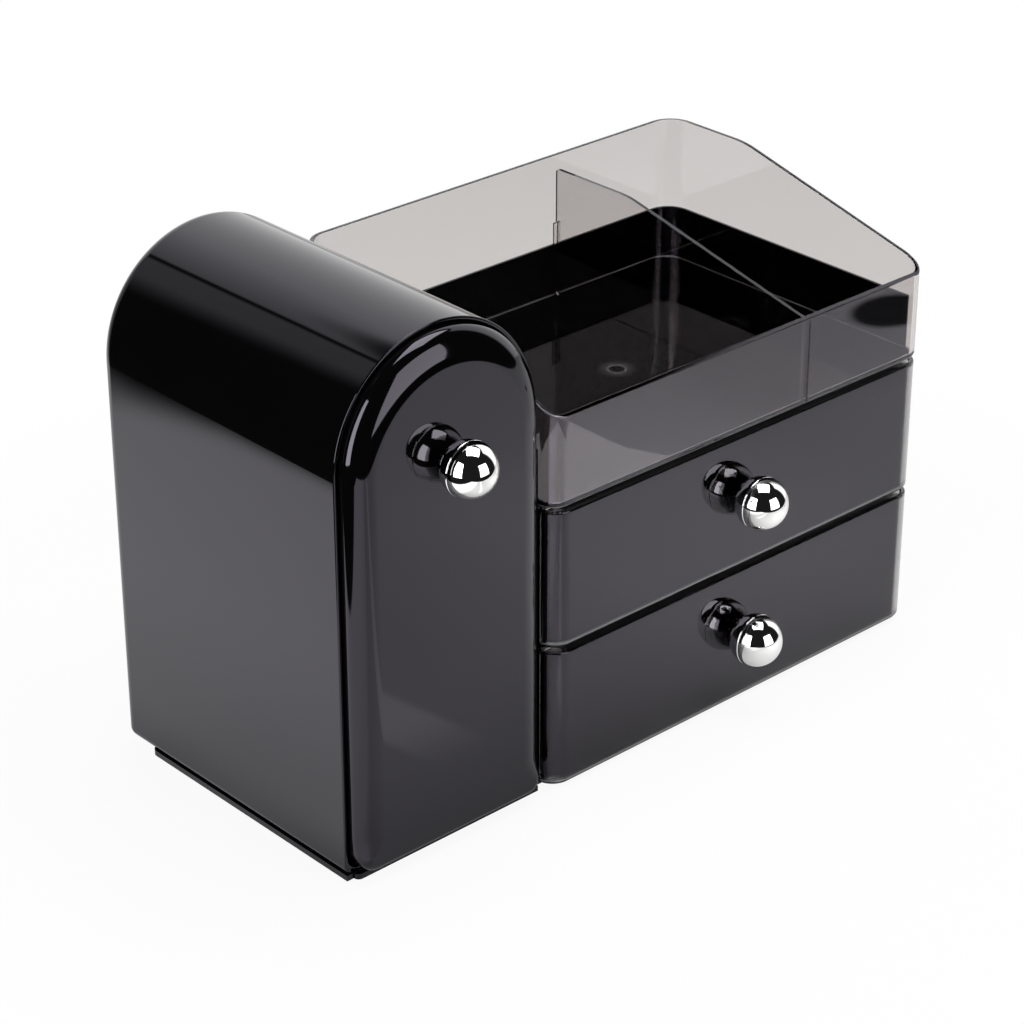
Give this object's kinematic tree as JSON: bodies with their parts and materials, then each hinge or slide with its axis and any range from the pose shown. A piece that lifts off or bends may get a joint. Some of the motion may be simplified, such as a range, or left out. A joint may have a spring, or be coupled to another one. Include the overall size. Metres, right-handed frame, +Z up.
{
  "type": "makeup organizer",
  "caption": "Makeup organizer: an arched pull-out brush tower beside a cabinet with two drawers and a lift-out divided tray on top.",
  "frame": {"origin": "middle of the overall width and depth, on the table under the feet", "axes": "+X to the right seen from the front, +Y to the back, +Z up"},
  "size_m": [0.2906, 0.1603, 0.203],
  "materials": {
    "tower_shell": "polished opaque black",
    "arched_front": "polished opaque black",
    "panels": "polished opaque black",
    "base": "opaque black, slightly duller than the shell",
    "tray": "polished translucent smoke",
    "drawer_fronts": "polished dark translucent smoke",
    "drawer_bins": "polished dark translucent smoke",
    "brush_tub": "polished translucent smoke",
    "knobs": "mirror polished",
    "screws": "zinc plated",
    "feet": "matte black"
  },
  "bodies": {
    "case": {"base_plate": "base", "feet": "feet", "base_screws": "screws", "tower_shell": "tower_shell", "cabinet_side_left": "panels", "cabinet_side_right": "panels", "cabinet_back": "panels", "cabinet_shelf": "panels", "cabinet_deck": "panels"},
    "brush_drawer": {"brush_drawer_front": "arched_front", "brush_tub": "brush_tub", "brush_divider_long": "brush_tub", "brush_divider_cross": "brush_tub", "brush_tub_screws": "screws", "brush_drawer_knob": "knobs", "brush_knob_screw": "screws"},
    "upper_drawer": {"upper_drawer_front": "drawer_fronts", "upper_drawer_bin": "drawer_bins", "upper_drawer_knob": "knobs", "upper_knob_screw": "screws"},
    "lower_drawer": {"lower_drawer_front": "drawer_fronts", "lower_drawer_bin": "drawer_bins", "lower_drawer_knob": "knobs", "lower_knob_screw": "screws"},
    "tray": {"top_tray": "tray"},
    "divider": {"tray_divider": "tray"}
  },
  "joints": [
    {"name": "brush_drawer_slide", "type": "slide", "parent": "case", "child": "brush_drawer", "axis": [0, -1, 0], "range_m": [0, 0.1]},
    {"name": "upper_drawer_slide", "type": "slide", "parent": "case", "child": "upper_drawer", "axis": [0, -1, 0], "range_m": [0, 0.095]},
    {"name": "lower_drawer_slide", "type": "slide", "parent": "case", "child": "lower_drawer", "axis": [0, -1, 0], "range_m": [0, 0.095]},
    {"name": "tray_lift", "type": "slide", "parent": "case", "child": "tray", "axis": [0, 0, 1], "range_m": [0, 0.03]},
    {"name": "divider_lift", "type": "slide", "parent": "tray", "child": "divider", "axis": [0, 0, 1], "range_m": [0, 0.032]}
  ]
}
